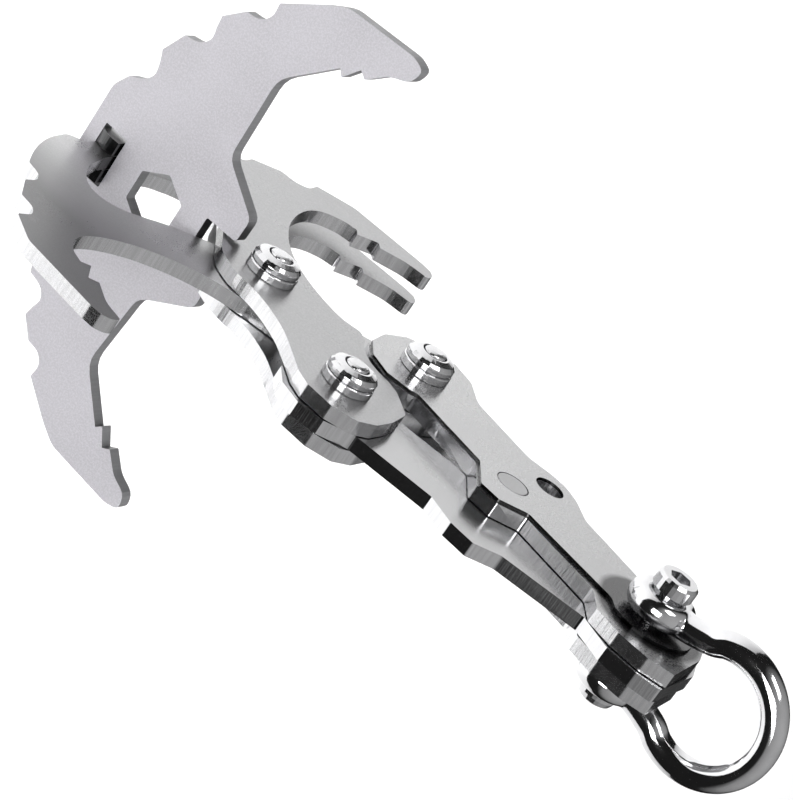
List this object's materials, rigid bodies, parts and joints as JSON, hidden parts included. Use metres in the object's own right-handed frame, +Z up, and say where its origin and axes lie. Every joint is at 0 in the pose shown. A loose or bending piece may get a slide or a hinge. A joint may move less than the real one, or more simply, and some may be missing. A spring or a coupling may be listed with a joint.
{
  "type": "grapnel anchor",
  "caption": "Folding steel plate grapnel anchor: toothed claws crossing on a centre bolt, a slotted cross claw, and two links hung from a bow shackle.",
  "frame": {"origin": "inside of the shackle bow's crown, where the line that carries the anchor bears", "axes": "+Z up along the shank to the shackle, X across the two main claws, Y through the plates with the nuts on the -Y side"},
  "size_m": [0.1144, 0.1094, 0.1815],
  "materials": {
    "satin_plate": "satin",
    "matte_plate": "matte tumbled",
    "polished_fittings": "polished"
  },
  "bodies": {
    "shackle": {"shackle_bow": "polished_fittings", "shackle_pin": "polished_fittings"},
    "right_link": {"right_link_upper_plate": "satin_plate", "right_link_lower_plate": "satin_plate", "right_link_cover_plate": "satin_plate", "cover_rivet": "satin_plate", "pivot_bolt_3": "polished_fittings", "pivot_washer_3": "polished_fittings", "pivot_nut_3": "polished_fittings"},
    "left_claw": {"left_claw_plate": "satin_plate"},
    "right_claw": {"right_claw_upper_plate": "satin_plate", "right_claw_lower_plate": "satin_plate", "pivot_bolt_2": "polished_fittings", "pivot_washer_2": "polished_fittings", "pivot_nut_2": "polished_fittings"},
    "cross_claw": {"cross_claw": "matte_plate", "pivot_bolt_1": "polished_fittings", "pivot_washer_1": "polished_fittings", "pivot_nut_1": "polished_fittings"},
    "left_link": {"left_link_plate": "satin_plate"}
  },
  "joints": [
    {"name": "shackle_swing", "type": "hinge", "parent": "shackle", "child": "right_link", "pos_m": [0, 0, -0.02815], "axis": [0, 1, 0], "range_deg": [-100, 100]},
    {"name": "left_claw_fold", "type": "hinge", "parent": "right_link", "child": "left_claw", "pos_m": [-0.0141, 0, -0.09635], "axis": [0, 1, 0], "range_deg": [-41.7, 0]},
    {"name": "right_claw_fold", "type": "hinge", "parent": "left_claw", "child": "right_claw", "pos_m": [0, 0, -0.12735], "axis": [0, 1, 0], "range_deg": [0, 60]},
    {"name": "cross_claw_turn", "type": "hinge", "parent": "left_claw", "child": "cross_claw", "pos_m": [0, 0, -0.12735], "axis": [0, 1, 0], "range_deg": [0, 30]},
    {"name": "left_link_fold", "type": "hinge", "parent": "right_claw", "child": "left_link", "pos_m": [0.0141, 0, -0.09635], "axis": [0, 1, 0], "range_deg": [-41.8, 0]}
  ],
  "couplings": [
    {"joint": "right_claw_fold", "follows": "left_claw_fold", "ratio": -1.4365},
    {"joint": "cross_claw_turn", "follows": "left_claw_fold", "ratio": -0.7182},
    {"joint": "left_link_fold", "follows": "left_claw_fold", "ratio": 1}
  ]
}
